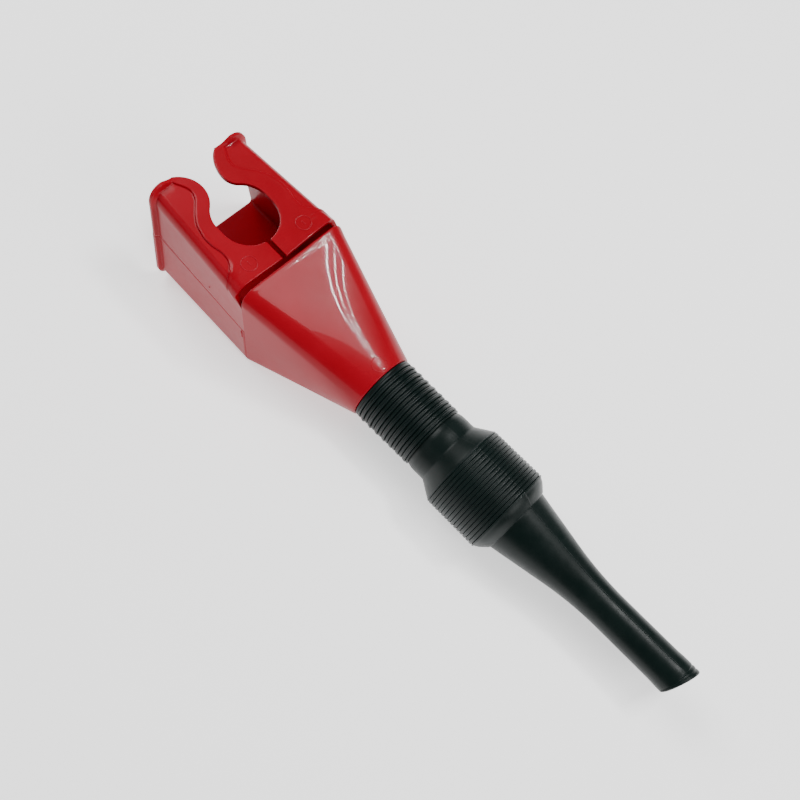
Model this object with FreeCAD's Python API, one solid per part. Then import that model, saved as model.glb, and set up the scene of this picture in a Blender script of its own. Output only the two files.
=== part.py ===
"""Clip-on oil funnel: a moulded hopper with a snap clip, and a blow-moulded bellows hose with a spout.

Everything is modelled along the hose's own axis (+X towards the spout, +Z up), with the shoulder
between neck and hose near x = 0, and is moved at the end so that the origin is the bottom centre of
the lying part. Lengths are millimetres and angles are degrees.
"""
import FreeCAD, Part

import math
import os

V = FreeCAD.Vector
AXIS_X = V(1, 0, 0)
AXIS_Y = V(0, 1, 0)

# Hopper: a box that is open at the mouth, with its roof plane pitched against the hose axis.
HEAD_PITCH = 2.5
MOUTH_X = -147.3
SLOT_X = -75.5
ROOF_Z = 37.0
MOUTH_FLOOR_Z = -25.5
SLOT_FLOOR_Z = -27.8
MOUTH_HALF_TOP = 28.5
SLOT_HALF_TOP = 33.9
HALF_BOTTOM = 35.0
LEAN = 8.0
ROOF_RADIUS = 8.0
FLOOR_RADIUS = 4.5
WALL = 2.4
RIM_PROUD = 2.0
RIM_WIDTH = 2.6

# Slot across the roof and slit between the two clip arms.
SLOT_WIDTH = 2.75
SLOT_FLARE = 1.2
SLIT_LEFT = -1.05
SLIT_RIGHT = -3.5

# Clip arms: an oblong hole with two round horns at its mouth side, inside a raised band.
HOLE_RADIUS = 15.7
HOLE_FRONT_X = -111.0
HOLE_BACK_X = -106.0
HOLE_Y = -1.2
HORNS = {1: (-131.5, 14.3, 15.8), -1: (-133.5, 21.8, 14.9)}  # centre x, centre y, reach to the mouth
LAND_Y = 17.6
BAND = 9.2
BAND_RISE = 1.0
SHELF_X = -93.0
SEAM = 0.3
MARK_X = -86.5
MARK_Y = 18.2
MARK_RADIUS = 4.1
MARK_RISE = 0.25

# Neck: the socket that the hose's cuff snaps into.
NECK_X = -2.9
NECK_RADIUS = 19.7
SOCKET_DEPTH = 12.0
SOCKET_RADIUS = 17.3
THROAT_RADIUS = 14.6
BEAD_RISE = 0.6
BEAD_HALF = 1.2
FIT = 0.06

# Hose: cuff, narrow bellows, smooth tube, wide bellows, spout.
CUFF_END = 0.6
FOLD_WIDE = 2.85
FOLD_NARROW = 2.22
FOLD_COUNT = 7
FOLD_CREST = 19.8
FOLD_TAIL = 19.0
FOLD_STEP = 19.2
FOLD_ROOT = 15.2
RING_START = 56.9
RING_PITCH = 2.193
RING_COUNT = 14
RING_CREST = 25.2
RING_ROOT = 20.2
GAP = 0.35
TUBE_RADIUS = 18.95
TUBE_WALL = 1.8
STEP_X = 95.1
STEP_RADIUS = 19.2
CONE_END_X = 131.0
CONE_END_RADIUS = 12.55
PIPE_RADIUS = 9.85
PIPE_X = 158.0
TIP_X = 206.6
TIP_RADIUS = 10.1
TIP_SLANT = 18.5
SPOUT_WALL = 1.4
TIP_GROOVES = (203.1, 204.4)


def rounded_wire(points, radii):
    """Closed wire through the points, with an arc of the given radius at each corner."""
    corners = []
    count = len(points)
    for i, point in enumerate(points):
        back = (points[i - 1] - point).normalize()
        ahead = (points[(i + 1) % count] - point).normalize()
        half = back.getAngle(ahead) / 2
        reach = radii[i] / math.tan(half)
        bisector = (back + ahead).normalize()
        middle = point + bisector * (radii[i] / math.sin(half) - radii[i])
        corners.append((point + back * reach, middle, point + ahead * reach))
    edges = []
    for i, (enter, middle, leave) in enumerate(corners):
        edges.append(Part.Arc(enter, middle, leave).toShape())
        edges.append(Part.makeLine(leave, corners[(i + 1) % count][0]))
    return Part.Wire(edges)


def hopper_section(x, half_top, half_bottom, floor_z, inset):
    """Rounded trapezium of the hopper in its leaning plane, pitched with the roof."""
    lean = math.tan(math.radians(LEAN))
    top = ROOF_Z - inset
    low = floor_z + inset
    x_top = x + lean * inset
    x_low = x + lean * (ROOF_Z - low)
    points = [
        V(x_top, half_top - inset, top),
        V(x_top, inset - half_top, top),
        V(x_low, inset - half_bottom, low),
        V(x_low, half_bottom - inset, low),
    ]
    roof = ROOF_RADIUS - inset
    base = FLOOR_RADIUS - inset
    wire = rounded_wire(points, [roof, roof, base, base])
    wire.rotate(V(), AXIS_Y, HEAD_PITCH)
    return wire


def mouth_section(inset):
    return hopper_section(MOUTH_X, MOUTH_HALF_TOP, HALF_BOTTOM, MOUTH_FLOOR_Z, inset)


def slot_section(inset):
    return hopper_section(SLOT_X, SLOT_HALF_TOP, HALF_BOTTOM, SLOT_FLOOR_Z, inset)


def eighths(x, radius):
    """Circle about the hose axis in eight arcs, in the order of the hopper section's edges."""
    edges = []
    for i in range(8):
        start = math.radians(22.5 + 45 * i)
        turns = (start, start + math.pi / 8, start + math.pi / 4)
        ends = [V(x, radius * math.cos(a), radius * math.sin(a)) for a in turns]
        edges.append(Part.Arc(*ends).toShape())
    return Part.Wire(edges)


def loft(first, last):
    return Part.makeLoft([first, last], True, True)


def turned(profile):
    """Solid of revolution about the hose axis from (x, radius) points joined by straight lines."""
    wire = Part.makePolygon([V(x, 0, r) for x, r in profile + profile[:1]])
    return Part.Face(wire).revolve(V(), AXIS_X, 360)


def pitched(shape):
    shape.rotate(V(), AXIS_Y, HEAD_PITCH)
    return shape


def box(x, y, z):
    """Box from three (low, high) pairs."""
    sizes = [high - low for low, high in (x, y, z)]
    return Part.makeBox(*sizes, V(x[0], y[0], z[0]))


def seam_half_width(x):
    """Half-width of the roof's flat part, where the clip arms hinge on the side walls."""
    along = (x - MOUTH_X) / (SLOT_X - MOUTH_X)
    return MOUTH_HALF_TOP + along * (SLOT_HALF_TOP - MOUTH_HALF_TOP) - ROOF_RADIUS


def roof_strip(front, back, grow):
    """Upright prism over the flat part of the roof, grown sideways by grow."""
    front_half = seam_half_width(front) + grow
    back_half = seam_half_width(back) + grow
    outline = [(front, -front_half), (back, -back_half), (back, back_half), (front, front_half)]
    points = [V(x, y, ROOF_Z - 12) for x, y in outline + outline[:1]]
    return pitched(Part.Face(Part.makePolygon(points)).extrude(V(0, 0, 24)))


def slot_cutter():
    """Slot across the roof and its rounded edges, wider at both sides than in the middle."""
    reach = SLOT_HALF_TOP + 6
    front = SLOT_X - SLOT_WIDTH
    flared = front - SLOT_FLARE
    outline = [(SLOT_X, -reach), (SLOT_X, reach), (flared, reach), (front, 0), (flared, -reach)]
    floor = ROOF_Z - ROOF_RADIUS - 1
    points = [V(x, y, floor) for x, y in outline + outline[:1]]
    return pitched(Part.Face(Part.makePolygon(points)).extrude(V(0, 0, 20)))


def outer_hopper():
    return loft(mouth_section(0), slot_section(0))


def mouth_rim():
    """Rim that stands proud all round the mouth."""
    outer = mouth_section(-RIM_PROUD)
    back = outer.copy()
    back.translate(V(RIM_WIDTH, 0, 0))
    ring = loft(outer, back)
    bore = mouth_section(WALL)
    bore_back = bore.copy()
    bore.translate(V(-1, 0, 0))
    bore_back.translate(V(RIM_WIDTH + 1, 0, 0))
    return ring.cut(loft(bore, bore_back))


def open_hopper():
    """Hopper walls, floor, roof and mouth rim, hollow through."""
    inner_mouth = mouth_section(WALL)
    inner_mouth.translate(V(-0.5, 0, 0))
    inner_slot = slot_section(WALL)
    inner_slot.translate(V(0.5, 0, 0))
    shell = outer_hopper().cut(loft(inner_mouth, inner_slot))
    return shell.fuse(mouth_rim()).removeSplitter()


def hopper_tray(shell):
    """Floor, side walls, rounded upper edges and rim, with the roof's flat part taken out."""
    tray = shell.cut(roof_strip(MOUTH_X - 8, SLOT_X + 1, 0))
    return tray.cut(slot_cutter())


def clip_plan():
    """Plan of both clip arms before the slit: hole, horns and the mouth between them."""
    centre = V(HOLE_FRONT_X, HOLE_Y, 0)
    depth = 30
    base = V(0, 0, ROOF_Z - 15)
    z_range = (base.z, base.z + depth)
    plan = Part.makeCylinder(HOLE_RADIUS, depth, base + centre)
    plan = plan.fuse(Part.makeCylinder(HOLE_RADIUS, depth, base + V(HOLE_BACK_X, HOLE_Y, 0)))
    y_range = (HOLE_Y - HOLE_RADIUS, HOLE_Y + HOLE_RADIUS)
    plan = plan.fuse(box((HOLE_FRONT_X, HOLE_BACK_X), y_range, z_range))
    inner_x = HOLE_FRONT_X + 8
    for side, (x, y, reach) in HORNS.items():
        horn = V(x, side * y, 0)
        away = horn - centre
        radius = away.Length - HOLE_RADIUS
        touch = centre + away.normalize() * HOLE_RADIUS
        land = side * min(LAND_Y, y)
        throat = box((MOUTH_X - 9, touch.x + 6), sorted((HOLE_Y, land)), z_range)
        throat = throat.cut(Part.makeCylinder(radius, depth, base + horn))
        front = Part.Ellipse(base + horn, max(reach, radius + 0.01), radius)
        throat = throat.cut(Part.Face(Part.Wire(front.toShape())).extrude(V(0, 0, depth)))
        behind = [
            (touch.x, touch.y), (inner_x, touch.y), (inner_x, side * 40), (x, side * 40), (x, horn.y),
        ]
        points = [V(px, py, base.z) for px, py in behind + behind[:1]]
        plan = plan.fuse(throat.cut(Part.Face(Part.makePolygon(points)).extrude(V(0, 0, depth))))
    return pitched(plan)


def band_cutter():
    """The lowered ground outside the raised band that runs round the hole and along the horns."""
    low = ROOF_Z - BAND_RISE
    depth = 8
    base = V(0, 0, low)
    reach = HOLE_RADIUS + BAND
    middle_x = (HOLE_FRONT_X + HOLE_BACK_X) / 2
    keep = Part.makeCylinder(reach, depth, base + V(middle_x, 0, 0))
    keep = keep.fuse(box((SHELF_X, SLOT_X + 2), (-50, 50), (low, low + depth)))
    ground = box((MOUTH_X + RIM_WIDTH + 1, SHELF_X + 1), (-50, 50), (low, low + depth))
    side_strips = ground.cut(keep)
    inner = box((MOUTH_X - 2, SHELF_X), (-LAND_Y, LAND_Y), (low, low + depth))
    return pitched(side_strips.cut(inner))


def clip_arm(shell, side):
    """One sprung arm of the clip: the roof's flat part on one side of the middle slit."""
    y_range = (SLIT_LEFT, 60) if side > 0 else (-60, SLIT_RIGHT)
    half = pitched(box((MOUTH_X - 12, SLOT_X + 8), y_range, (ROOF_Z - 9, ROOF_Z + 9)))
    arm = shell.common(roof_strip(MOUTH_X - 7, SLOT_X - 1, -SEAM)).common(half)
    arm = arm.cut(slot_cutter()).cut(clip_plan()).cut(band_cutter())
    ring = Part.makeCylinder(MARK_RADIUS, 1, V(MARK_X, side * MARK_Y, ROOF_Z - 0.7))
    ring = ring.cut(Part.makeCylinder(MARK_RADIUS - 0.4, 3, V(MARK_X, side * MARK_Y, ROOF_Z - 1.5)))
    slab = box((MARK_X - 9, MARK_X + 9), (-60, 60), (ROOF_Z - 0.5, ROOF_Z + MARK_RISE))
    return arm.fuse(pitched(ring.common(slab)))


def throat_cone():
    """Tapering throat from the hopper's section to the round neck, with the hose socket in it."""
    outer = loft(slot_section(0), eighths(NECK_X, NECK_RADIUS))
    socket_start = NECK_X - SOCKET_DEPTH
    inner_start = slot_section(WALL)
    inner_start.translate(V(-0.4, 0, 0))
    hollow = loft(inner_start, eighths(socket_start + 0.2, THROAT_RADIUS))
    bead_x = socket_start + SOCKET_DEPTH / 2
    groove = SOCKET_RADIUS + BEAD_RISE
    socket = turned([
        (socket_start, 0), (socket_start, SOCKET_RADIUS), (bead_x - BEAD_HALF, SOCKET_RADIUS),
        (bead_x, groove), (bead_x + BEAD_HALF, SOCKET_RADIUS), (NECK_X + 1, SOCKET_RADIUS),
        (NECK_X + 1, 0),
    ])
    return outer.cut(hollow).cut(socket)


def hose_cuff():
    """Cuff that snaps into the neck socket and can turn in it."""
    start = NECK_X - SOCKET_DEPTH + GAP
    radius = SOCKET_RADIUS - FIT
    bead_x = NECK_X - SOCKET_DEPTH / 2
    face = NECK_X + GAP
    end = CUFF_END - GAP / 2
    return turned([
        (start, FOLD_ROOT), (start, radius - 0.6), (start + 0.6, radius), (bead_x - BEAD_HALF, radius),
        (bead_x, radius + BEAD_RISE), (bead_x + BEAD_HALF, radius), (face, radius),
        (face, FOLD_TAIL - 0.3), (face + 0.3, FOLD_TAIL), (end - 0.2, FOLD_TAIL + 0.3),
        (end, FOLD_TAIL), (end, FOLD_ROOT),
    ])


def fold_wide(start):
    """Wide crest of the narrow bellows: it rises towards the spout and ends in a sharp crest."""
    low = start + GAP / 2
    high = start + FOLD_WIDE - GAP / 2
    return turned([
        (low, FOLD_ROOT), (low, FOLD_TAIL - 0.3), (low + 0.35, FOLD_TAIL), (high - 0.6, FOLD_CREST),
        (high - 0.2, FOLD_CREST - 0.1), (high, FOLD_CREST - 0.5), (high, FOLD_ROOT),
    ])


def fold_narrow(start):
    """Narrow, slightly lower crest between two wide ones."""
    low = start + GAP / 2
    high = start + FOLD_NARROW - GAP / 2
    return turned([
        (low, FOLD_ROOT), (low, FOLD_STEP - 0.5), (low + 0.4, FOLD_STEP - 0.05),
        ((low + high) / 2, FOLD_STEP),
        (high - 0.4, FOLD_STEP - 0.05), (high, FOLD_STEP - 0.5), (high, FOLD_ROOT),
    ])


def ring(start):
    """One collapsed ring of the wide bellows."""
    low = start + GAP / 2
    high = start + RING_PITCH - GAP / 2
    bow = (high - low) / 2
    crest = []
    for step in range(5):
        turn = step * math.pi / 4
        crest.append((low + bow * (1 - math.cos(turn)), RING_CREST - bow + bow * math.sin(turn)))
    return turned([(low, RING_ROOT)] + crest + [(high, RING_ROOT)])


def middle_tube():
    """Smooth tube between the bellows, with the shoulder that opens to the wide one."""
    start = CUFF_END + FOLD_COUNT * FOLD_WIDE + (FOLD_COUNT - 1) * FOLD_NARROW + GAP / 2
    end = RING_START - GAP / 2
    inner = TUBE_RADIUS - TUBE_WALL
    return turned([
        (start, FOLD_ROOT), (start, TUBE_RADIUS), (36.8, TUBE_RADIUS + 0.12), (42.5, TUBE_RADIUS),
        (47.4, 19.3), (51.1, 21.6), (54.7, 23.9), (end - 0.6, RING_CREST - 0.45), (end, RING_CREST - 0.9),
        (end, RING_ROOT), (53.0, RING_ROOT), (46.5, inner), (start + 1.5, inner), (start + 1.5, FOLD_ROOT),
    ])


def spout():
    """Lower shoulder, tapering nozzle and slanted, rounded tip."""
    start = RING_START + RING_COUNT * RING_PITCH + GAP / 2
    past = TIP_X + 8
    slope = math.atan((STEP_RADIUS - CONE_END_RADIUS) / (CONE_END_X - STEP_X - 0.6))
    bend = (PIPE_X - CONE_END_X) / math.sin(slope)
    arc = []
    for part in (0, 0.25, 0.5, 0.75, 1):
        turn = slope * (1 - part)
        arc.append((PIPE_X - bend * math.sin(turn), PIPE_RADIUS + bend * (1 - math.cos(turn))))
    tail = [(TIP_X - 12.5, PIPE_RADIUS), (TIP_X - 6, TIP_RADIUS), (past, TIP_RADIUS)]
    outside = [(STEP_X + 0.6, STEP_RADIUS)] + arc + tail
    inside = [(x, r - SPOUT_WALL) for x, r in reversed(outside)]
    shoulder = [
        (start, RING_ROOT), (start, RING_CREST - 0.9), (start + 0.5, RING_CREST - 0.35), (89.2, 24.6),
        (91.7, 22.9), (93.2, 21.4), (STEP_X - 0.2, 19.7), (STEP_X, 19.0), (STEP_X + 0.3, 19.0),
    ]
    solid = turned(shoulder + outside + inside + [(92.0, RING_ROOT)])
    for x in TIP_GROOVES:
        solid = solid.cut(turned([(x - 0.3, 11.5), (x + 0.3, 11.5), (x, TIP_RADIUS - 0.35)]))
    knife = box((TIP_X, TIP_X + 40), (-40, 40), (-40, 40))
    knife.rotate(V(TIP_X, 0, 0), V(0, 0, 1), -TIP_SLANT)
    return solid.cut(knife)


def build():
    """All nodes by name, still along the hose axis."""
    shell = open_hopper()
    nodes = {
        "hopper_tray": hopper_tray(shell),
        "clip_arm_left": clip_arm(shell, 1),
        "clip_arm_right": clip_arm(shell, -1),
        "throat_cone": throat_cone(),
        "hose_cuff": hose_cuff(),
        "middle_tube": middle_tube(),
        "spout": spout(),
    }
    x = CUFF_END
    for i in range(1, FOLD_COUNT + 1):
        nodes[f"fold_wide_{i}"] = fold_wide(x)
        x += FOLD_WIDE
        if i < FOLD_COUNT:
            nodes[f"fold_narrow_{i}"] = fold_narrow(x)
            x += FOLD_NARROW
    for i in range(1, RING_COUNT + 1):
        nodes[f"collar_ring_{i:02d}"] = ring(RING_START + (i - 1) * RING_PITCH)
    return nodes


def main():
    nodes = build()
    whole = FreeCAD.BoundBox()
    for shape in nodes.values():
        whole.add(shape.BoundBox)
    shift = V(-whole.Center.x, -whole.Center.y, -whole.ZMin)
    print("shift", [round(v, 4) for v in shift])
    print("size", round(whole.XLength, 2), round(whole.YLength, 2), round(whole.ZLength, 2))
    os.makedirs("parts", exist_ok=True)
    for name, shape in nodes.items():
        shape.translate(shift)
        print(name, "solids", len(shape.Solids), "valid", shape.isValid(), "volume", round(shape.Volume, 1))
        shape.exportStep(f"parts/{name}.step")


main()
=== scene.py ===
"""Looks of a clip-on oil funnel: a glossy red moulded head and a satin black bellows hose with a spout.

Shapes are worked out in millimetres along the hose's axis (+X towards the spout, +Z up), with the
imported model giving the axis, the neck and the place of every fold. Each mesh is then put into the
row frame in metres. The head's parts share one surface of three numbers, and the hose's parts are
profiles turned about the axis.
"""
import logging
from dataclasses import dataclass
from enum import Enum

import bmesh
import bpy
import numpy as np
from mathutils import Matrix, Vector


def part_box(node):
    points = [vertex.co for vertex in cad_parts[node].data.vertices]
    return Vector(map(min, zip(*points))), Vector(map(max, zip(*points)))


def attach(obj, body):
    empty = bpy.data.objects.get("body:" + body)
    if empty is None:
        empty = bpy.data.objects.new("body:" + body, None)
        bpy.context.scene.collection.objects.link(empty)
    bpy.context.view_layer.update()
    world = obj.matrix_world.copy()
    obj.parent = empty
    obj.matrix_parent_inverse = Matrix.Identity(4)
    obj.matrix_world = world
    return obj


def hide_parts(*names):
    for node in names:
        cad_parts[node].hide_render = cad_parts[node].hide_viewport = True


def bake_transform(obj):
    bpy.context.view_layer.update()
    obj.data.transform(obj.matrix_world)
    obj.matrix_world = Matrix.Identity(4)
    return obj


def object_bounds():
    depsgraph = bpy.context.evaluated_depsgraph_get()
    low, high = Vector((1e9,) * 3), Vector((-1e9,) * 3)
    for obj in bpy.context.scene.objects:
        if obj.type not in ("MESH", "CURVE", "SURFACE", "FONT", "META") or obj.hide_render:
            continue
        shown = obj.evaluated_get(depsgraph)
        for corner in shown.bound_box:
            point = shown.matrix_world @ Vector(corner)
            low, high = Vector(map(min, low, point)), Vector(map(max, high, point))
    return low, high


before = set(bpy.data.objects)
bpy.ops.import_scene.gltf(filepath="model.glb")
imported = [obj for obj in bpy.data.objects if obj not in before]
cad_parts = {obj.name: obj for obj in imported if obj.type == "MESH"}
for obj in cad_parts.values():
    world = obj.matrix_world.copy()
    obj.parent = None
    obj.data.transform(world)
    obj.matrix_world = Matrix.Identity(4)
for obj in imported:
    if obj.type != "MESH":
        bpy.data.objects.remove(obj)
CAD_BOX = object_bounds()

Array = np.ndarray
Material = bpy.types.Material
SceneObject = bpy.types.Object
Socket = bpy.types.NodeSocket
Pair = tuple[float, float]
Triple = tuple[float, float, float]
MM = 0.001
LOG = logging.getLogger("funnel")


class Side(Enum):
    """The two sides of the head: left is +Y, looking from the mouth to the spout."""

    LEFT = 1
    RIGHT = -1

    @property
    def body(self) -> str:
        """Name of the moving body of this side's clip arm."""
        return "arm_left" if self is Side.LEFT else "arm_right"


class Slot(Enum):
    """Material slots of the record."""

    RED = "red_plastic"
    BLACK = "black_plastic"


def smooth_step(x: Array, low: float | Array, high: float | Array) -> Array:
    """Rises from 0 at low to 1 at high with no kink at either end: 3t squared less 2t cubed."""
    t = np.clip((x - low) / (high - low), 0.0, 1.0)
    return t * t * (3.0 - 2.0 * t)


def bell(x: Array, centre: float, width: float) -> Array:
    """Gauss curve of height 1 about centre, with width as its standard deviation times root two."""
    return np.exp(-(((x - centre) / width) ** 2))


def soft_greater(first: Array, second: Array, soft: float) -> Array:
    """Greater of the two, rounded where they cross over a width of about soft."""
    return first + soft * np.log1p(np.exp((second - first) / soft))


def soft_lesser(first: Array, second: Array, soft: float) -> Array:
    """Lesser of the two, rounded where they cross over a width of about soft."""
    return first - soft * np.log1p(np.exp((first - second) / soft))


def edge_profile(radius: float, count: int = 5) -> tuple[Array, Array]:
    """Quarter circle that rounds a square edge.

    Args:
        radius: radius of the rounding in mm.
        count: number of points on the quarter circle.

    Returns:
        How far each point is in from the edge, and how far it is below the face:
        radius times one less cosine, and radius times one less sine.
    """
    turn = np.linspace(0.0, np.pi / 2.0, count)
    return radius * (1.0 - np.cos(turn)), radius * (1.0 - np.sin(turn))


# --------------------------------------------------------------------------------------- frame


@dataclass(frozen=True)
class Datum:
    """Where the hose's axis lies in the row frame.

    Args:
        x: place of the datum along the hose in metres, a little past the end of the neck.
        y: height of the axis across the part in metres.
        z: height of the axis above the floor in metres.
    """

    x: float
    y: float
    z: float

    @classmethod
    def from_frame(cls, neck_x: float) -> "Datum":
        """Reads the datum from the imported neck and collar.

        Args:
            neck_x: the neck's end along the hose in mm, which the neck's packed end stands for.

        Returns:
            The datum of this part.
        """
        low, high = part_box("collar_ring_07")
        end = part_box("throat_cone")[1][0]
        return cls(end - neck_x * MM, (low[1] + high[1]) / 2, (low[2] + high[2]) / 2)

    def place(self, points: Array) -> Array:
        """Turns mm along the hose into metres in the row frame."""
        return points * MM + np.array([self.x, self.y, self.z])

    def along(self, x: float) -> float:
        """Place along the hose in mm of a row-frame x in metres."""
        return (x - self.x) / MM


NECK_X = -2.9
DATUM = Datum.from_frame(NECK_X)


# --------------------------------------------------------------------------------------- meshes


def grid_faces(rows: int, columns: int, start: int, closed: bool) -> Array:
    """Quads of a grid of vertices.

    Args:
        rows: number of rows of vertices.
        columns: number of vertices in a row.
        start: index of the first vertex.
        closed: whether the last column joins the first.

    Returns:
        An array of quads, one for each cell.
    """
    index = start + np.arange(rows * columns).reshape(rows, columns)
    if closed:
        index = np.concatenate([index, index[:, :1]], axis=1)
    cells = (index[:-1, :-1], index[1:, :-1], index[1:, 1:], index[:-1, 1:])
    return np.stack(cells, axis=-1).reshape(-1, 4)


def strip_faces(first: Array, second: Array) -> Array:
    """Quads between two equally long lines of vertices."""
    return np.stack([first[:-1], first[1:], second[1:], second[:-1]], axis=-1)


def make_piece(name: str, points: Array, faces: Array, material: Material) -> SceneObject:
    """Makes a smooth closed mesh whose faces point outwards.

    Args:
        name: name of the piece.
        points: vertices in mm along the hose, one per row.
        faces: quads as vertex indices.
        material: finish of the whole piece.

    Returns:
        The new object, at the origin, with its place in its mesh.
    """
    mesh = bpy.data.meshes.new(name)
    mesh.from_pydata(DATUM.place(points).tolist(), [], faces.tolist())
    work = bmesh.new()
    work.from_mesh(mesh)
    bmesh.ops.remove_doubles(work, verts=work.verts, dist=1e-7)
    bmesh.ops.recalc_face_normals(work, faces=work.faces)
    work.to_mesh(mesh)
    work.free()
    mesh.polygons.foreach_set("use_smooth", np.ones(len(mesh.polygons), dtype=bool))
    mesh.materials.append(material)
    piece = bpy.data.objects.new(name, mesh)
    bpy.context.collection.objects.link(piece)
    return piece


def shell_piece(
    name: str, outer: Array, inner: Array, closed: bool, material: Material
) -> SceneObject:
    """Closed wall between an outer and an inner skin, joined along their borders.

    Args:
        name: name of the piece.
        outer: outer skin as rows by columns by xyz in mm.
        inner: inner skin with as many columns, and as many rows unless closed.
        closed: whether each row is a loop.
        material: finish of the whole piece.

    Returns:
        The new object.
    """
    rows, columns = outer.shape[:2]
    inner_rows = inner.shape[0]
    split = rows * columns
    top = np.arange(split).reshape(rows, columns)
    low = split + np.arange(inner_rows * columns).reshape(inner_rows, columns)
    ends = [(top[0], low[0]), (top[-1], low[-1])]
    if closed:
        ends = [(np.append(a, a[0]), np.append(b, b[0])) for a, b in ends]
    else:
        ends += [(top[:, 0], low[:, 0]), (top[:, -1], low[:, -1])]
    faces = [grid_faces(rows, columns, 0, closed), grid_faces(inner_rows, columns, split, closed)]
    faces += [strip_faces(a, b) for a, b in ends]
    points = np.concatenate([outer.reshape(-1, 3), inner.reshape(-1, 3)])
    return make_piece(name, points, np.concatenate(faces), material)


def tube_piece(
    name: str, path: Array, across: Array, up: Array, section: Array, material: Material
) -> SceneObject:
    """Closed loop with one section carried all the way round it.

    Args:
        name: name of the piece.
        path: loop of points in mm.
        across: unit vector across the loop at each point.
        up: unit vector away from the surface at each point.
        section: loop of (across, up) offsets in mm.
        material: finish of the piece.

    Returns:
        The new object.
    """
    grid = path[:, None] + across[:, None] * section[None, :, :1] + up[:, None] * section[None, :, 1:]
    grid = np.concatenate([grid, grid[:1]])
    rows, columns = grid.shape[:2]
    return make_piece(name, grid.reshape(-1, 3), grid_faces(rows, columns, 0, True), material)


# --------------------------------------------------------------------------------------- finishes


class NodeBench:
    """Short way to add and link shader nodes of one material."""

    def __init__(self, name: str) -> None:
        """Starts an empty node material.

        Args:
            name: name of the material.
        """
        self.material = bpy.data.materials.new(name)
        self.material.use_nodes = True
        self.tree = self.material.node_tree
        self.tree.nodes.clear()

    def add(self, kind: str, inputs: dict | None = None, **fields: object) -> bpy.types.Node:
        """Adds a node.

        Args:
            kind: Blender's name of the node's class.
            inputs: socket name or number to a value, or to another node's output to link.
            fields: properties of the node itself.

        Returns:
            The new node.
        """
        node = self.tree.nodes.new(kind)
        for key, value in fields.items():
            setattr(node, key, value)
        for key, value in (inputs or {}).items():
            if isinstance(value, Socket):
                self.tree.links.new(value, node.inputs[key])
            else:
                node.inputs[key].default_value = value
        return node

    def noise(self, vector: Socket, scale: float, detail: float = 3.0) -> Socket:
        """Noise value of that many cells per metre."""
        node = self.add("ShaderNodeTexNoise", {"Vector": vector, "Scale": scale, "Detail": detail})
        return node.outputs["Fac"]

    def stretched(self, vector: Socket, scale: Triple) -> Socket:
        """The vector with each axis scaled."""
        return self.add("ShaderNodeMapping", {"Vector": vector, "Scale": scale}).outputs["Vector"]

    def span(
        self, value: Socket, source: Pair, target: Pair
    ) -> Socket:
        """Carries a value from one span to another.

        Args:
            value: the value.
            source: its span.
            target: the span that it is carried to, and held at the ends of.

        Returns:
            The carried value.
        """
        inputs = {"Value": value, "From Min": source[0], "From Max": source[1]}
        inputs.update({"To Min": target[0], "To Max": target[1]})
        return self.add("ShaderNodeMapRange", inputs).outputs["Result"]

    def mix(self, share: Socket, first: object, second: object) -> Socket:
        """Mixes two colours.

        Args:
            share: share of the second colour.
            first: a socket, or red, green and blue.
            second: a socket, or red, green and blue.

        Returns:
            The mixed colour.
        """
        node = self.add("ShaderNodeMix", {0: share}, data_type="RGBA")
        for socket, value in ((node.inputs[6], first), (node.inputs[7], second)):
            if isinstance(value, Socket):
                self.tree.links.new(value, socket)
            else:
                socket.default_value = (*value, 1.0)
        return node.outputs[2]

    def math(self, operation: str, first: object, second: object) -> Socket:
        """Result of a two-number operation."""
        return self.add("ShaderNodeMath", {0: first, 1: second}, operation=operation).outputs[0]

    def bump(self, height: Socket, distance: float, under: Socket | None = None) -> Socket:
        """Raises the surface's normal by a height.

        Args:
            height: height from 0 to 1.
            distance: what a height of 1 stands for in metres.
            under: normal of the surface below, or none for the mesh's own.

        Returns:
            The new normal.
        """
        inputs = {"Strength": 1.0, "Distance": distance, "Height": height}
        if under is not None:
            inputs["Normal"] = under
        return self.add("ShaderNodeBump", inputs).outputs["Normal"]


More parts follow.
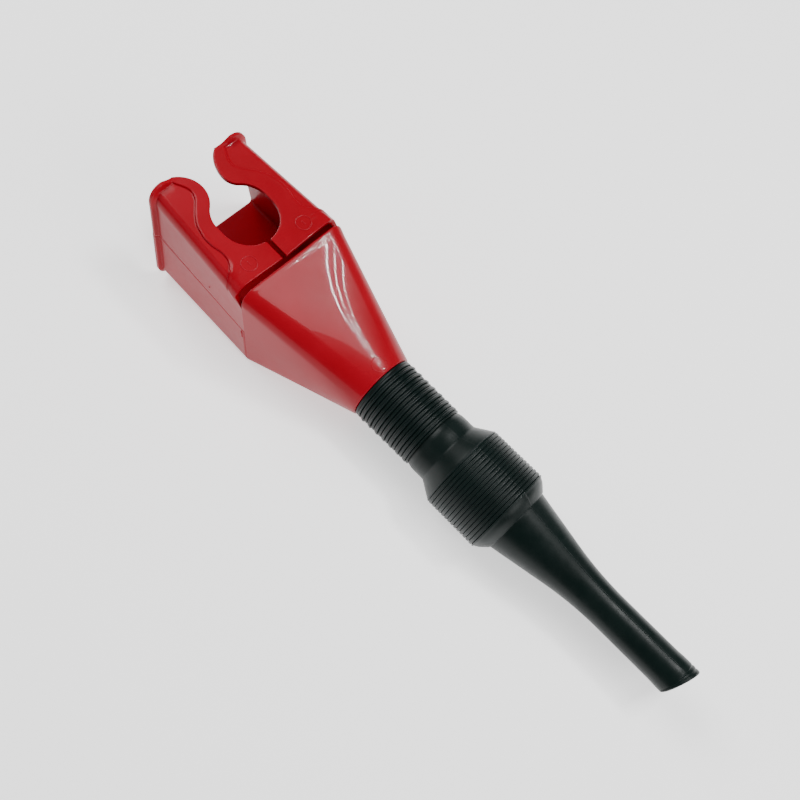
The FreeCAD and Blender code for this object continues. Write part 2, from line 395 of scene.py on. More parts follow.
@dataclass(frozen=True)
class MouldedPlastic:
    """Moulded plastic: cloudy colour, flow streaks, fine skin texture, scuffs and paler edges.

    Args:
        name: name of the material.
        slot: record slot that it stands for. Not used.
        deep: colour of the thick, shaded areas.
        pale: colour of the stressed, paler areas.
        edge: colour of worn edges.
        roughness: lowest and highest roughness.
        ripple: height in mm of the long ripples that the tool leaves along the flow.
        ripple_scale: ripples per metre along X, Y and Z.
        grain: height in mm of the fine skin texture.
        coat: weight of the clear, glossy skin.
        specular: strength of the mirror part.
        index: refractive index, which sets how fast the mirror part grows at a glance.
        coat_roughness: roughness of the clear skin.
        edge_radius: width in metres of the worn edges.
        cloud_scale: clouds of colour per metre.
        speck_scale: pale specks per metre.
        wear_scale: breaks in the worn edges per metre.
        scuff_scale: fine changes of roughness per metre.
        patch_scale: wide changes of roughness per metre.
        grain_scale: grains of the skin texture per metre.
    """

    name: str
    slot: Slot
    deep: Triple
    pale: Triple
    edge: Triple
    roughness: Pair
    ripple: float
    ripple_scale: Triple
    grain: float
    coat: float
    specular: float
    index: float
    coat_roughness: float = 0.035
    edge_radius: float = 0.0006
    cloud_scale: float = 26.0
    speck_scale: float = 1700.0
    wear_scale: float = 420.0
    scuff_scale: float = 240.0
    patch_scale: float = 70.0
    grain_scale: float = 3200.0

    def colour(self, bench: NodeBench, where: Socket) -> Socket:
        """Cloudy colour with paler, worn edges.

        Args:
            bench: the material's nodes.
            where: position on the object.

        Returns:
            The colour socket.
        """
        cloud = bench.span(bench.noise(where, self.cloud_scale, 4.0), (0.35, 0.68), (0.0, 1.0))
        base = bench.mix(cloud, self.deep, self.pale)
        speck = bench.span(bench.noise(where, self.speck_scale, 2.0), (0.74, 0.82), (0.0, 0.3))
        base = bench.mix(speck, base, self.edge)
        soft = bench.add("ShaderNodeBevel", {"Radius": self.edge_radius}, samples=4).outputs["Normal"]
        hard = bench.add("ShaderNodeNewGeometry").outputs["Normal"]
        match = bench.add("ShaderNodeVectorMath", {0: soft, 1: hard}, operation="DOT_PRODUCT")
        edges = bench.span(match.outputs["Value"], (0.99, 0.86), (0.0, 1.0))
        worn = bench.math("MULTIPLY", edges, bench.noise(where, self.wear_scale))
        return bench.mix(worn, base, self.edge)

    def build(self) -> Material:
        """Makes the material.

        Returns:
            The new material.
        """
        bench = NodeBench(self.name)
        where = bench.add("ShaderNodeTexCoord").outputs["Object"]
        scuff = bench.math("MULTIPLY", bench.noise(where, self.scuff_scale), 0.5)
        patch = bench.math("MULTIPLY", bench.noise(where, self.patch_scale), 0.5)
        roughness = bench.span(bench.math("ADD", scuff, patch), (0.36, 0.64), self.roughness)
        ripple = bench.noise(bench.stretched(where, self.ripple_scale), 1.0, 2.0)
        waves = bench.bump(ripple, self.ripple * MM)
        grain = bench.noise(where, self.grain_scale)
        shader = bench.add(
            "ShaderNodeBsdfPrincipled",
            {
                "Base Color": self.colour(bench, where),
                "Roughness": roughness,
                "Normal": bench.bump(grain, self.grain * MM, waves),
                "IOR": self.index,
                "Coat Weight": self.coat,
                "Coat Roughness": self.coat_roughness,
                "Coat Normal": waves,
                "Specular IOR Level": self.specular,
            },
        )
        bench.add("ShaderNodeOutputMaterial", {"Surface": shader.outputs["BSDF"]})
        return bench.material


RED_GLOSS = MouldedPlastic(
    name="red_gloss",
    slot=Slot.RED,
    deep=(0.3, 0.0015, 0.009),
    pale=(0.35, 0.003, 0.013),
    edge=(0.5, 0.03, 0.05),
    roughness=(0.28, 0.34),
    ripple=0.009,
    ripple_scale=(140.0, 110.0, 40.0),
    grain=0.0012,
    coat=0.14,
    specular=0.16,
    index=1.34,
)
BLACK_SATIN = MouldedPlastic(
    name="black_satin",
    slot=Slot.BLACK,
    deep=(0.0022, 0.0068, 0.0059),
    pale=(0.0038, 0.01, 0.0088),
    edge=(0.012, 0.026, 0.025),
    roughness=(0.3, 0.42),
    ripple=0.012,
    ripple_scale=(40.0, 120.0, 120.0),
    grain=0.003,
    coat=0.0,
    specular=0.26,
    index=1.4,
)


@dataclass(frozen=True)
class Floor:
    """Plain pale sweep that the part lies on.

    Args:
        pale: colour of its lighter clouds.
        dark: colour of its darker clouds.
        roughness: its roughness.
        half: half of its side in metres.
        glow: light that it gives off, as a light table does.
    """

    pale: Triple = (0.9, 0.9, 0.9)
    dark: Triple = (0.8, 0.8, 0.8)
    roughness: float = 0.9
    half: float = 6.0
    glow: float = 1.0

    def build(self) -> SceneObject:
        """Makes the floor as one flat square at the height that the part rests on.

        Returns:
            The new object.
        """
        bench = NodeBench("floor_paper")
        where = bench.add("ShaderNodeTexCoord").outputs["Object"]
        shade = bench.span(bench.noise(where, 3.0), (0.3, 0.7), (0.97, 1.0))
        inputs = {"Base Color": bench.mix(shade, self.dark, self.pale), "Roughness": self.roughness}
        inputs.update({"Emission Color": (1.0, 1.0, 1.0, 1.0), "Emission Strength": self.glow})
        shader = bench.add("ShaderNodeBsdfPrincipled", inputs)
        bench.add("ShaderNodeOutputMaterial", {"Surface": shader.outputs["BSDF"]})
        mesh = bpy.data.meshes.new("floor")
        side = np.array([-self.half, self.half])
        x, y = np.meshgrid(side, side, indexing="ij")
        corners = np.stack([x, y, np.full_like(x, float(CAD_BOX[0][2]))], axis=-1).reshape(-1, 3)
        mesh.from_pydata(corners.tolist(), [], [(0, 2, 3, 1)])
        mesh.materials.append(bench.material)
        floor = bpy.data.objects.new("floor", mesh)
        bpy.context.collection.objects.link(floor)
        return floor


# --------------------------------------------------------------------------------------- head


@dataclass(frozen=True)
class Station:
    """One leaning section of the hopper: a trapezium with rounded corners, same on both sides.

    Args:
        half_top: half-width at the roof plane in mm.
        half_bottom: half-width at the floor in mm.
        floor_z: height of the floor in mm.
        roof_z: height of the roof in mm.
        roof_radius: radius of the upper corners in mm.
        floor_radius: radius of the lower corners in mm.
    """

    half_top: float
    half_bottom: float
    floor_z: float
    roof_z: float = 37.0
    roof_radius: float = 8.0
    floor_radius: float = 4.5

    @property
    def wall_turn(self) -> float:
        """Angle between the roof's and the wall's outward normals."""
        return float(np.arctan2(self.roof_z - self.floor_z, self.half_bottom - self.half_top))

    def corners(self) -> tuple[Array, Array]:
        """Works out the centres of the corners' arcs.

        Returns:
            Centre of the upper and of the lower corner's arc, as (y, z).
        """
        turn = self.wall_turn
        reach_top = self.roof_radius * np.tan(turn / 2)
        reach_low = self.floor_radius * np.tan((np.pi - turn) / 2)
        top = np.array([self.half_top - reach_top, self.roof_z - self.roof_radius])
        low = np.array([self.half_bottom - reach_low, self.floor_z + self.floor_radius])
        return top, low

    def outline(self, k: Array) -> tuple[Array, Array]:
        """Point and outward normal at k.

        k runs 0 to 1 over the roof's half, 1 to 2 round the upper corner, 2 to 3 down the wall,
        3 to 4 round the lower corner and 4 to 5 over the floor's half to the middle. On an arc,
        the point is its centre plus the radius times the sine and cosine of the normal's angle.

        Args:
            k: place round the section.

        Returns:
            Points and normals as arrays whose last axis is (y, z).
        """
        turn = self.wall_turn
        top, low = self.corners()
        angle = np.clip(k - 1, 0, 1) * turn + np.clip(k - 3, 0, 1) * (np.pi - turn)
        normal = np.stack([np.sin(angle), np.cos(angle)], axis=-1)
        fall = np.clip(k - 2, 0, 1)[..., None]
        centre = top * (1 - fall) + low * fall
        radius = self.roof_radius * (1 - fall) + self.floor_radius * fall
        point = centre + radius * normal
        point[..., 0] -= top[0] * (1 - np.minimum(k, 1)) + low[0] * np.clip(k - 4, 0, 1)
        return point, normal

    def lengths(self) -> Array:
        """Measures the section from the middle of the roof to the foot of the wall.

        Returns:
            Lengths in mm of the roof's half, the upper corner and the wall.
        """
        top, low = self.corners()
        drop = self.roof_radius - self.floor_radius
        wall = np.sqrt(np.sum((low - top) ** 2) - drop**2)
        return np.array([top[0], self.roof_radius * self.wall_turn, wall])


@dataclass
class HeadShape:
    """Sizes in mm of the red head, and the surfaces that all of its pieces share.

    Args:
        mouth: section at the mouth.
        slot: section at the slot behind the clip arms.
        mouth_x: roof's front edge along the head.
        slot_x: rear edge of the slot.
        lean: tangent of the sections' lean.
        pitch: angle between the roof and the hose's axis.
        wall: wall thickness.
        middle: depth at which the outer and the inner skin meet along an edge.
        edge: radius of the rounded edges.
        seam: depth of the fine groove at the parting line.
        rim_width: width of the mouth's rim along the head.
        rim_proud: how far the rim stands out.
        parting: place of the parting line round the section.
        ground: depth of the lowered ground outside the clip's raised band.
        neck_radius: outside of the neck.
        throat_radius: hole between throat and hose socket.
        socket: depth and radius of the hose socket.
    """

    mouth: Station = Station(28.5, 35.0, -25.5)
    slot: Station = Station(33.9, 35.0, -27.8)
    mouth_x: float = -147.3
    slot_x: float = -75.5
    lean: float = float(np.tan(np.radians(8.0)))
    pitch: float = float(np.radians(2.5))
    wall: float = 2.4
    middle: float = 1.6
    edge: float = 0.4
    seam: float = 0.12
    rim_width: float = 2.6
    rim_proud: float = 2.0
    parting: float = 2.46
    ground: float = 1.0
    neck_radius: float = 19.7
    throat_radius: float = 14.6
    socket: Pair = (12.0, 17.3)

    @property
    def length(self) -> float:
        """Length of the roof from mouth to slot."""
        return self.slot_x - self.mouth_x

    def share(self, x: Array) -> Array:
        """Share of the way from mouth to slot at roof place x."""
        return (x - self.mouth_x) / self.length

    def hopper(
        self,
        share: Array | float,
        k: Array | float,
        lift: Array | float,
        side: Array | float,
        level: Array | float = 0.0,
    ) -> Array:
        """Point of the hopper's wall.

        The point is the straight mix of the mouth's and the slot's section at k, moved along its
        normal by lift. Lower sections lean back, so x grows with the depth under the roof. Where
        level is above 0, what stands over the lowered ground of the clip arms sinks to it by that
        share. Last, the whole is turned by the pitch.

        Args:
            share: way from mouth to slot.
            k: place round the section.
            lift: distance from the outer skin in mm, below 0 towards the inside.
            side: 1 for +Y and -1 for -Y.
            level: share by which the ground is lowered.

        Returns:
            Points in mm along the hose.
        """
        share, k, lift, side, level = np.broadcast_arrays(share, k, lift, side, level)
        at_mouth, normal_mouth = self.mouth.outline(k)
        at_slot, normal_slot = self.slot.outline(k)
        mix = share[..., None]
        point = at_mouth * (1 - mix) + at_slot * mix
        normal = normal_mouth * (1 - mix) + normal_slot * mix
        normal /= np.linalg.norm(normal, axis=-1, keepdims=True)
        roof = self.mouth.roof_z
        x = self.mouth_x + share * self.length + self.lean * (roof - point[..., 1])
        y = point[..., 0] + lift * normal[..., 0]
        z = point[..., 1] + lift * normal[..., 1]
        z = z - level * np.maximum(z - (roof - self.ground), 0.0)
        return self.pitched(np.stack([x, y * side, z], axis=-1))

    def pitched(self, points: Array) -> Array:
        """Turns the head by its pitch about +Y.

        Args:
            points: points of the level head in mm.

        Returns:
            Points in mm along the hose.
        """
        x, y, z = points[..., 0], points[..., 1], points[..., 2]
        cos, sin = np.cos(self.pitch), np.sin(self.pitch)
        return np.stack([x * cos + z * sin, y, z * cos - x * sin], axis=-1)

    def cone(
        self, share: Array | float, k: Array, lift: Array | float, side: Array | float
    ) -> Array:
        """Point of the throat: the straight mix of the slot's section and the neck's circle.

        The roof's half meets the circle's first 22.5 degrees from the top, each corner and wall
        meets 45 degrees, and the floor's half meets the last 22.5 degrees.

        Args:
            share: way from slot to neck.
            k: place round the section.
            lift: distance from the outer skin in mm.
            side: 1 for +Y and -1 for -Y.

        Returns:
            Points in mm along the hose.
        """
        share, k, lift, side = np.broadcast_arrays(share, k, lift, side)
        start = self.hopper(1.0, k, 0.0, side)
        out = self.hopper(1.0, k, 1.0, side) - start
        turn = np.clip(k, 0, 1) / 2 + np.clip(k - 1, 0, 3) + np.clip(k - 4, 0, 1) / 2
        turn = turn * np.pi / 4
        radial = np.stack([np.zeros_like(turn), np.sin(turn) * side, np.cos(turn)], axis=-1)
        end = radial * self.neck_radius + np.array([NECK_X, 0.0, 0.0])
        mix = share[..., None]
        normal = out * (1 - mix) + radial * mix
        return start * (1 - mix) + end * mix + lift[..., None] * normal

    def rim(self, x: Array) -> Array:
        """Share by which the rim stands out at roof place x: 1 on the rim, 0 behind it."""
        back = self.mouth_x + self.rim_width
        return 1.0 - smooth_step(x, back - 0.5, back + 1.0)

    def rim_rows(self) -> Array:
        """Roof places that draw the step at the rim's back."""
        back = self.mouth_x + self.rim_width
        return np.linspace(back - 0.55, back + 1.05, 14)


@dataclass(frozen=True)
class ClipPlan:
    """Plan in mm of one clip arm, in its own side's coordinates.

    Args:
        slit_edge: sideways place of the arm's edge along the slit.
        centre_y: sideways place of the clip hole's two arcs.
        horn: centre of the horn's rounded end.
        horn_reach: reach of the horn's front quarter towards the mouth.
        horn_power: fullness of that quarter, 2 for an ellipse.
    """

    slit_edge: float
    centre_y: float
    horn: Pair
    horn_reach: float
    horn_power: float


LEFT_PLAN = ClipPlan(-1.05, -1.2, (-131.5, 14.3), 15.8, 1.8)
RIGHT_PLAN = ClipPlan(3.5, 1.2, (-133.5, 21.8), 14.8, 2.0)
CONTOUR = np.array(
    [
        [-150.0, 17.6], [-145.5, 17.3], [-142.7, 16.4], [-139.5, 14.3], [-135.0, 12.8], [-130.0, 14.6],
        [-125.5, 19.0], [-122.3, 21.6], [-118.9, 23.7], [-111.0, 25.8], [-105.0, 25.6], [-100.0, 24.3],
        [-95.5, 24.4], [-91.0, 26.4], [-88.3, 29.5], [-86.0, 37.0], [-84.5, 41.0], [-70.0, 41.0],
    ]
)


@dataclass
class ClipArm:
    """One sprung arm of the clip with the upper half of its side wall, as one bent sheet.

    Args:
        shape: the head's shared shape.
        side: which side of the head.
        plan: plan of the arm.
        hole_radius: radius in mm of the clip hole's two arcs.
        hole_front: place along the head of the front arc's centre.
        hole_back: place along the head of the back arc's centre.
        corner: radius of the corner between the hole and the slit.
        slot_width: width of the slot behind the arm at the middle.
        slot_flare: how much wider the slot is at the sides.
        step: half-width of the raised band's sloping edge.
        pad: height that the band keeps where it wraps round the upper corner.
        rim_swell: how much further the rim stands out at the upper corner.
    """

    shape: HeadShape
    side: Side
    plan: ClipPlan
    hole_radius: float = 15.7
    hole_front: float = -111.0
    hole_back: float = -106.0
    corner: float = 1.0
    slot_width: float = 2.75
    slot_flare: float = 1.2
    step: float = 0.35
    pad: float = 0.7
    rim_swell: float = 0.9

    def edge_line(self) -> Array:
        """Free edge of the arm in plan, from the mouth to the slot.

        It is the horn, the hole's front arc, a straight stretch, the hole's back arc, a rounded
        corner and the slit's straight edge. The horn's front is a quarter of a superellipse. Its
        rest is a circle that touches the hole's, and the corner's arc touches both the hole's
        circle and the slit.

        Returns:
            One line for each point: x, y and the inward normal's x and y.
        """
        plan = self.plan
        horn = np.array(plan.horn)
        front = np.array([self.hole_front, plan.centre_y])
        back = np.array([self.hole_back, plan.centre_y])
        radius = np.hypot(*(horn - front)) - self.hole_radius
        touch = np.arctan2(*(horn - front)[::-1])
        rows = np.append(self.shape.mouth_x + self.shape.edge + 0.05, self.shape.rim_rows())
        marks = np.arccos(((horn[0] - rows) / plan.horn_reach) ** (plan.horn_power / 2))
        turn = np.unique(np.concatenate([np.linspace(marks[0], np.pi / 2, 30), marks]))
        cos, sin = np.cos(turn), np.sin(turn)
        bulge = np.stack([cos, sin], axis=-1) ** (2 / plan.horn_power)
        inward = np.stack([cos, sin], axis=-1) ** (2 - 2 / plan.horn_power)
        inward = inward * np.array([radius, plan.horn_reach])
        inward /= np.linalg.norm(inward, axis=-1, keepdims=True)
        reach = np.array([plan.horn_reach, radius])
        parts = [np.concatenate([horn - reach * bulge, inward], axis=-1)]
        turn = np.linspace(np.pi / 2, touch, 22)[1:]
        inward = np.stack([np.cos(turn), np.sin(turn)], axis=-1)
        parts.append(np.concatenate([horn - radius * inward, inward], axis=-1))
        turn = np.linspace(touch, np.pi / 2, 22)[1:]
        away = np.stack([np.cos(turn), np.sin(turn)], axis=-1)
        parts.append(np.concatenate([front + self.hole_radius * away, away], axis=-1))
        middle = np.linspace(self.hole_front, self.hole_back, 6)[1:-1]
        level = np.full(4, self.hole_radius + plan.centre_y)
        parts.append(np.stack([middle, level, np.zeros(4), np.ones(4)], axis=-1))
        reach = self.hole_radius + self.corner
        corner_turn = np.arcsin((plan.slit_edge - plan.centre_y + self.corner) / reach)
        turn = np.linspace(np.pi / 2, corner_turn, 40)
        away = np.stack([np.cos(turn), np.sin(turn)], axis=-1)
        parts.append(np.concatenate([back + self.hole_radius * away, away], axis=-1))
        centre = back + reach * np.array([np.cos(corner_turn), np.sin(corner_turn)])
        turn = np.linspace(corner_turn, np.pi / 2, 12)[1:]
        inward = np.stack([np.cos(turn), np.sin(turn)], axis=-1)
        parts.append(np.concatenate([centre - self.corner * inward, inward], axis=-1))
        end = self.shape.slot_x - self.slot_width - self.shape.edge
        slit = np.linspace(centre[0], end, 26)[1:]
        level = np.full(25, plan.slit_edge)
        parts.append(np.stack([slit, level, np.zeros(25), np.ones(25)], axis=-1))
        return np.concatenate(parts)

    def band(self, x: Array) -> Array:
        """Outer edge of the raised band: the contour's points, smoothed by a bell-shaped mean.

        Args:
            x: roof places in mm.

        Returns:
            Sideways places in mm.
        """
        fine = np.linspace(-155.0, -65.0, 901)
        weight = bell(np.linspace(-3.0, 3.0, 61), 0.0, 2.2)
        line = np.convolve(np.interp(fine, *CONTOUR.T), weight / weight.sum(), mode="same")
        return np.interp(x, fine[40:-40], line[40:-40])

    def rows(self) -> tuple[Array, Array, Array]:
        """Rows of the sheet.

        Returns:
            The free edge, one line for each row as edge_line gives it, how far each row is below
            the face, and 1 for the rows of which the edge column meets the inner skin.
        """
        shape = self.shape
        line = self.edge_line()
        inward, below = edge_profile(shape.edge)
        count = len(inward) + 1
        front = np.repeat(line[:1], count, axis=0)
        front[:, 0] = shape.mouth_x + np.append(0.0, inward)
        rear = np.repeat(line[-1:], count, axis=0)
        rear[:, 0] = shape.slot_x - self.slot_width - np.append(inward[::-1], 0.0)
        edge = np.append(shape.middle, below)
        drop = np.concatenate([edge, np.zeros(len(line)), edge[::-1]])
        ends = np.zeros(len(drop))
        ends[[0, -1]] = 1.0
        return np.concatenate([front, line, rear]), drop, ends

    def skin(self, outer: bool) -> Array:
        """One skin of the sheet as a grid.

        Each row starts at the free edge, rounds it, crosses the band, steps down to the ground and
        goes round the upper corner and down the wall to the parting line. Rows near the slot are
        stretched so that the last one follows the slot's edge and, under the slot, the section.

        Args:
            outer: the outer skin, or the inner one.

        Returns:
            Rows by columns by xyz, in mm.
        """
        shape = self.shape
        line, drop, ends = self.rows()
        inward, below = edge_profile(shape.edge)
        count = len(inward) + 1
        step = self.step
        x, y, normal_x, normal_y = line.T
        face_x = np.maximum.accumulate(x + normal_x * shape.edge) + np.arange(len(x)) * 1e-5
        face_y = y + normal_y * shape.edge
        band = np.maximum(self.band(face_x), face_y + step + 0.3)
        share = shape.share(face_x)
        lengths = shape.mouth.lengths() * (1 - share[:, None]) + shape.slot.lengths() * share[:, None]
        end = lengths[:, 0] + lengths[:, 1] + lengths[:, 2] * (shape.parting - 2)

        def between(low: Array, high: Array, steps: Array) -> Array:
            """Columns from low to high at the given shares."""
            return low[:, None] + (high - low)[:, None] * steps[None, :]

        flat = between(face_y, band - step, np.linspace(0, 1, 9)[1:-1])
        riser = between(band - step, band + step, np.linspace(0, 1, 7))
        rest = between(band + step, end, np.linspace(0, 1, 60)[1:])
        rounded_y = y[:, None] + normal_y[:, None] * np.append(0.0, inward)[None, :]
        rounded_x = x[:, None] + normal_x[:, None] * np.append(0.0, inward)[None, :]
        across = np.concatenate([rounded_y, flat, riser, rest, rest[:, -1:], rest[:, -1:]], axis=1)
        level_x = np.repeat(face_x[:, None], across.shape[1] - count, axis=1)
        along = np.concatenate([rounded_x, level_x], axis=1)
        column_drop = np.zeros(across.shape[1])
        column_drop[:count] = np.append(shape.middle, below)
        column_drop[-2] = shape.seam
        k = self.to_k(across, lengths)
        target = self.slot_end(k, np.minimum(np.abs(across), shape.slot.half_top))
        last = shape.slot_x - self.slot_width
        ramp = smooth_step(face_x, -90.0, last)[:, None]
        along = along + (target - last) * ramp
        rim = shape.rim(along)
        outside = smooth_step(across, band[:, None] - step, band[:, None] + step)
        closed = 1.0 - smooth_step(k, 1.98, 2.03)
        rear = (np.arange(len(x)) >= len(x) - count)[:, None]
        row_drop = np.where(rear, drop[:, None] * closed, drop[:, None])
        if outer:
            proud = shape.rim_proud * smooth_step(k, 0.75, 1.1) + self.rim_swell * bell(k, 1.45, 0.45)
            on_corner = smooth_step(k, 0.98, 1.25) * (1 - smooth_step(k, 1.85, 2.05))
            pad = self.pad * (1 - outside) * on_corner
            lift = rim * proud + (1 - rim) * pad - (row_drop + column_drop[None, :])
            lift = np.where(column_drop[None, :] == shape.middle, -shape.middle, lift)
            lift[:, -1] = -shape.middle
            lift = np.where((ends[:, None] > 0) & (row_drop > shape.edge), -shape.middle, lift)
            level = (1 - rim) * outside
        else:
            lift = -shape.wall + np.minimum(row_drop + column_drop[None, :], shape.wall - shape.middle)
            lift[:, -2] = -shape.wall
            lift[:, -1] = -shape.middle
            level = np.zeros_like(lift)
        return shape.hopper(shape.share(along), k, lift, self.side.value, level)

    def slot_end(self, k: Array, y: Array) -> Array:
        """Roof place where the sheet ends: the slot's front edge, and below the slot the hopper's end.

        Args:
            k: place round the section.
            y: sideways place in mm, which flares the slot.

        Returns:
            Roof places in mm.
        """
        shape = self.shape
        depth = shape.slot.roof_z - shape.slot.outline(k)[0][..., 1]
        front = shape.slot_x - self.slot_width - self.slot_flare * y / (shape.slot.half_top + 6)
        below = smooth_step(k, 2.0, 2.03)
        return (front - shape.lean * depth) * (1 - below) + shape.slot_x * below

    def to_k(self, across: Array, lengths: Array) -> Array:
        """Place round the section at a distance from the middle, measured along the section.

        Args:
            across: distance from the middle in mm.
            lengths: lengths of the roof's half, the upper corner and the wall for each row.

        Returns:
            Places round the section, as outline takes them.
        """
        flat, corner, wall = (lengths[:, i : i + 1] for i in range(3))
        on_corner = 1 + (across - flat) / corner
        on_wall = 2 + (across - flat - corner) / wall
        return np.where(across < flat, across / flat, np.where(across < flat + corner, on_corner, on_wall))

    def build(self, material: Material) -> SceneObject:
        """Makes the sheet.

        Args:
            material: finish of the sheet.

        Returns:
            The new piece.
        """
        shape = self.shape
        name = f"clip_arm_{self.side.name.lower()}_sheet"
        piece = shell_piece(name, self.skin(True), self.skin(False), False, material)
        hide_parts(f"clip_arm_{self.side.name.lower()}")
        core = -shape.wall / 2
        wall = shape.hopper(0.5, 2.1, core, self.side.value)
        roof = shape.hopper(0.5, 0.85, core, self.side.value)
        tuple(DATUM.place(wall))
        tuple(DATUM.place(roof))
        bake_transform(piece)
        return piece


@dataclass(frozen=True)
class WallMark:
    """Small raised mark on the right side wall.

    Args:
        name: name of its piece.
        share: its place from mouth to slot.
        k: its place round the section.
        size: half of its length down the wall, half of its width, and its height in mm.
    """

    name: str
    share: float
    k: float
    size: Triple


@dataclass
class Head:
    """The red moulding: lower tray, two arm sheets, throat and raised marks.

    Args:
        shape: sizes of the head.
        lip: place, width and height in mm of the throat's proud lip behind the slot.
        mark_x: place of the raised rings along the head.
        mark_y: sideways place of the raised rings.
        mark_radius: radius of the raised rings.
        tick: half of the length, half of the width, and the height of the dash inside each ring.
        gate_reach: distance from the neck's end to the middle of the gate ring.
        gate_radius: radius of the gate ring.
        wall_marks: marks on the right wall.
    """

    shape: HeadShape
    lip: Triple = (1.4, 1.6, 0.18)
    mark_x: float = -86.5
    mark_y: float = 18.2
    mark_radius: float = 4.1
    tick: Triple = (1.5, 0.3, 0.2)
    gate_reach: float = 5.6
    gate_radius: float = 3.9
    wall_marks: tuple[WallMark, ...] = (
        WallMark("wall_bead", 0.965, 2.58, (3.4, 0.75, 0.6)),
        WallMark("wall_pip", 0.62, 2.36, (0.5, 0.5, 0.3)),
    )

    def tray(self, material: Material) -> SceneObject:
        """Floor and lower walls with the rim's lower part, between the two parting lines.

        Args:
            material: finish of the tray.

        Returns:
            The new piece.
        """
        shape = self.shape
        inward, below = edge_profile(shape.edge)
        x = np.concatenate(
            [
                shape.mouth_x + np.append(0.0, inward),
                shape.mouth_x + np.linspace(0.8, 2.0, 4),
                shape.rim_rows(),
                np.linspace(shape.mouth_x + 4, shape.slot_x, 30),
            ]
        )
        edge = np.append(shape.middle, below)
        row_drop = np.append(edge, np.zeros(len(x) - len(edge)))[:, None]
        half = np.concatenate(
            [
                [shape.parting] * 2,
                np.linspace(shape.parting + 0.004, 3.0, 14),
                np.linspace(3.0, 4.0, 13)[1:],
                np.linspace(4.0, 5.0, 11)[1:],
            ]
        )
        k = np.concatenate([half, half[-2::-1]])[None, :]
        side = np.concatenate([np.ones(len(half)), -np.ones(len(half) - 1)])[None, :]
        seam = np.zeros(k.shape[1])
        seam[[0, -1]] = shape.middle
        seam[[1, -2]] = shape.seam
        share = shape.share(x)[:, None]
        rim = shape.rim(x)[:, None]
        outer_lift = rim * shape.rim_proud - row_drop - seam[None, :]
        border = (row_drop >= shape.middle) | (seam[None, :] >= shape.middle)
        outer_lift = np.where(border, -shape.middle, outer_lift)
        rest = shape.wall - shape.middle
        inner_seam = np.where(seam == shape.middle, rest, 0.0)[None, :]
        inner_lift = -shape.wall + np.minimum(np.maximum(row_drop, inner_seam), rest)
        outer = shape.hopper(share, k, outer_lift, side)
        inner = shape.hopper(share, k, inner_lift, side)
        piece = shell_piece("hopper_lower_tray", outer, inner, False, material)
        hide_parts("hopper_tray")
        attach(piece, "head")
        return piece

    def round_section(self) -> tuple[Array, Array]:
        """Places all the way round a section.

        Returns:
            k and side for each column, without a doubled first column.
        """
        half = np.concatenate(
            [
                np.linspace(0, 1, 17)[:-1],
                np.linspace(1, 2, 21)[:-1],
                np.linspace(2, 3, 25)[:-1],
                np.linspace(3, 4, 15)[:-1],
                np.linspace(4, 5, 13),
            ]
        )
        k = np.concatenate([half, half[-2:0:-1]])
        side = np.concatenate([np.ones(len(half)), -np.ones(len(half) - 2)])
        return k[None, :], side[None, :]

    def throat(self, material: Material) -> SceneObject:
        """Throat from the slot's section to the neck, with a soft proud lip and the hose socket inside.

        Args:
            material: finish of the throat.

        Returns:
            The new piece.
        """
        shape = self.shape
        k, side = self.round_section()
        reach = NECK_X - shape.slot_x
        inward, below = edge_profile(shape.edge)
        near = np.append(0.0, inward) / reach
        far = 1.0 - np.append(inward[::-1], 0.0) / reach
        lip_rows = np.linspace(0.8, 6.0, 16) / reach
        share = np.concatenate([near, lip_rows, np.linspace(0.1, 0.985, 50), far])[:, None]
        free = 1.0 - smooth_step(k, 1.95, 2.1)
        edge = np.append(shape.middle, below)
        drop = np.zeros_like(share)
        drop[: len(edge), 0] = edge
        drop[-len(edge) :, 0] = edge[::-1]
        place, width, height = self.lip
        lip = height * bell(share * reach, place, width) * free
        rear_rows = np.arange(len(share))[:, None] < len(edge)
        lift = lip - np.where(rear_rows & (drop < shape.middle), drop * free, drop)
        outer = shape.cone(share, k, lift, side)
        depth, radius = shape.socket
        start = shape.hopper(1.0, k, -shape.wall, side)[0]
        middle = shape.hopper(1.0, k, -shape.middle, side)[0]
        radial = shape.cone(1.0, k, 0.0, side)[0]
        radial = (radial - np.array([NECK_X, 0, 0])) / shape.neck_radius
        mix = np.linspace(0, 1, 24)[:, None, None]
        throat_end = radial * shape.throat_radius + np.array([NECK_X - depth, 0, 0])
        taper = start[None] * (1 - mix) + throat_end[None] * mix
        chamfer = shape.edge
        rings = (
            (NECK_X - depth, radius),
            (NECK_X - chamfer, radius),
            (NECK_X, radius + chamfer),
            (NECK_X, radius + 2 * chamfer),
        )
        sleeve = np.stack([radial * r + np.array([x, 0, 0]) for x, r in rings])
        inner = np.concatenate([middle[None], taper, sleeve])
        piece = shell_piece("throat_moulding", outer, inner, True, material)
        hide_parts("throat_cone")
        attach(piece, "head")
        return piece

    def ring_mark(self, side: Side, material: Material) -> SceneObject:
        """Raised ring on a clip arm: a circle in the roof plane with a low half-round section.

        Args:
            side: which arm.
            material: finish of the ring.

        Returns:
            The new piece.
        """
        shape = self.shape
        turn = np.linspace(0, 2 * np.pi, 64, endpoint=False)
        circle = np.stack([np.cos(turn), np.sin(turn), np.zeros(64)], axis=-1)
        centre = np.array([self.mark_x, self.mark_y * side.value, shape.mouth.roof_z])
        path = shape.pitched(centre + circle * self.mark_radius)
        across = shape.pitched(circle)
        up = np.repeat(shape.pitched(np.array([[0.0, 0.0, 1.0]])), 64, axis=0)
        section = low_round(0.3, 0.22)
        piece = tube_piece(f"arm_mark_{side.name.lower()}", path, across, up, section, material)
        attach(piece, side.body)
        return piece

